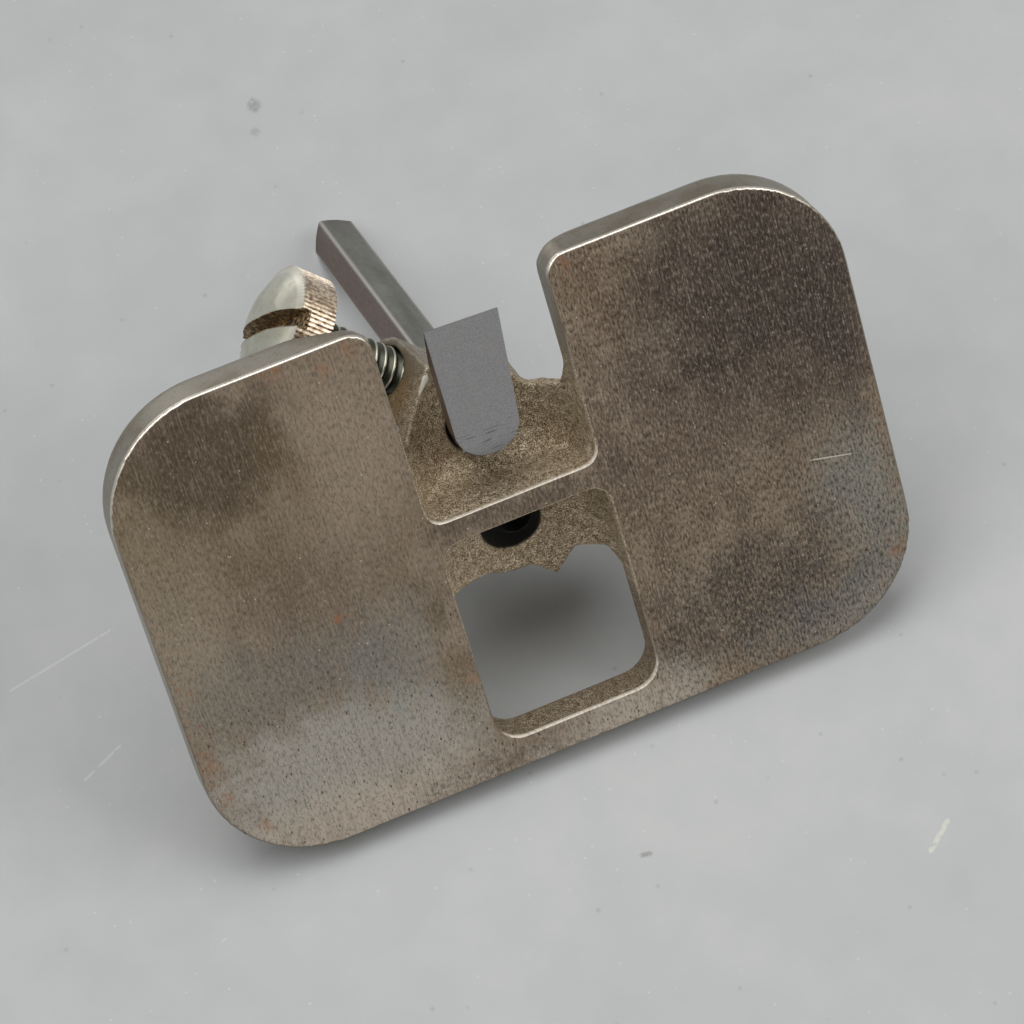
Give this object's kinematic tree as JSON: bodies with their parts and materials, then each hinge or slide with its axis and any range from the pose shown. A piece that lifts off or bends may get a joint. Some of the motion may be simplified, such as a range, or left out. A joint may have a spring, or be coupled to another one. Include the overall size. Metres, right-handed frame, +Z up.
{
  "type": "small router plane",
  "caption": "Small hand router plane: cast base with open throat and rear window, arched bridge, upright L-shaped cutter and knurled thumbscrew.",
  "frame": {"origin": "centre of the cross strip between throat and window, on the sole", "axes": "+Z up from the sole, +Y towards the closed rear rail, +X to the right seen from the open throat at the front"},
  "size_m": [0.0762, 0.0536, 0.0605],
  "materials": {
    "body": "worn nickel plate, lapped sole",
    "cutter": "ground foot, dark forged shank",
    "thumbscrew": "worn nickel plate"
  },
  "bodies": {
    "base": {"body": "body"},
    "cutter": {"cutter": "cutter"},
    "screw_travel": {"thumbscrew_point": "thumbscrew"},
    "screw_turn": {"thumbscrew": "thumbscrew"}
  },
  "joints": [
    {"name": "cutter_depth", "type": "slide", "parent": "base", "child": "cutter", "axis": [0, 0, 1], "range_m": [-0.016, 0.0015]},
    {"name": "thumbscrew_advance", "type": "slide", "parent": "base", "child": "screw_travel", "axis": [-0.7071, -0.7071, 0], "range_m": [0, 0.0035]},
    {"name": "thumbscrew_turn", "type": "hinge", "parent": "screw_travel", "child": "screw_turn", "pos_m": [-0.00015, -0.00585, 0.0133], "axis": [-0.7071, -0.7071, 0], "range_deg": [0, 1080]}
  ],
  "couplings": [
    {"joint": "thumbscrew_advance", "follows": "thumbscrew_turn", "m_per_rad": 0.0001687}
  ]
}
